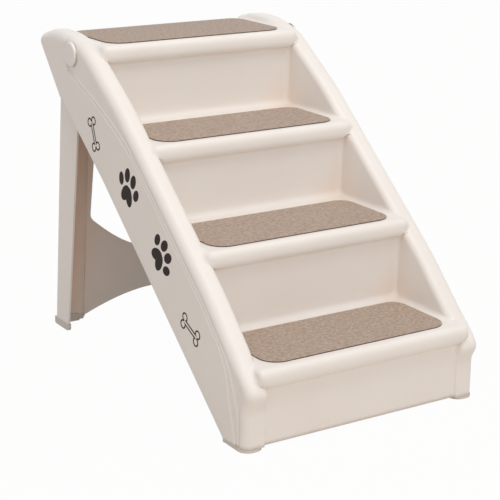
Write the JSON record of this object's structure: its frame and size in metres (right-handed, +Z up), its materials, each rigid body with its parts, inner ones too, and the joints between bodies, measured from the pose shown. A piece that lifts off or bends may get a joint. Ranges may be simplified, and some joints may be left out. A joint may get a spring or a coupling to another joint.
{
  "type": "pet stairs",
  "caption": "Folding moulded pet stairs with carpeted treads between raised side rails, and a hinged rear leg frame that swings up under the steps.",
  "frame": {"origin": "on the floor under the middle of the stairs' overall length and width", "axes": "+Z up, -Y towards the bottom step where the pet climbs on, +Y towards the leg frame, +X to the climber's right"},
  "size_m": [0.4058, 0.62, 0.495],
  "materials": {
    "shell": "satin moulded plastic, warm white",
    "carpet": "short heathered pile, taupe",
    "foot_rubber": "matt pale rubber",
    "pin_steel": "plain drawn steel",
    "spacer": "plain nylon",
    "print_ink": "flat dark brown ink"
  },
  "bodies": {
    "stairs": {"stair_body": "shell", "tread_pad_1": "carpet", "tread_pad_2": "carpet", "tread_pad_3": "carpet", "tread_pad_4": "carpet", "hinge_cap_left": "shell", "hinge_cap_right": "shell", "hinge_pin_left": "pin_steel", "hinge_pin_right": "pin_steel", "hinge_spacer_left": "spacer", "hinge_spacer_right": "spacer", "pin_washer_left": "pin_steel", "pin_washer_right": "pin_steel", "pin_clip_left": "pin_steel", "pin_clip_right": "pin_steel", "front_foot_left": "foot_rubber", "front_foot_right": "foot_rubber", "side_print_left": "print_ink", "side_print_right": "print_ink"},
    "leg": {"leg_frame": "shell", "rear_foot_left": "foot_rubber", "rear_foot_right": "foot_rubber"}
  },
  "joints": [
    {"name": "leg_fold", "type": "hinge", "parent": "stairs", "child": "leg", "pos_m": [0, 0.1966, 0.4663], "axis": [-1, 0, 0], "range_deg": [0, 57]}
  ]
}
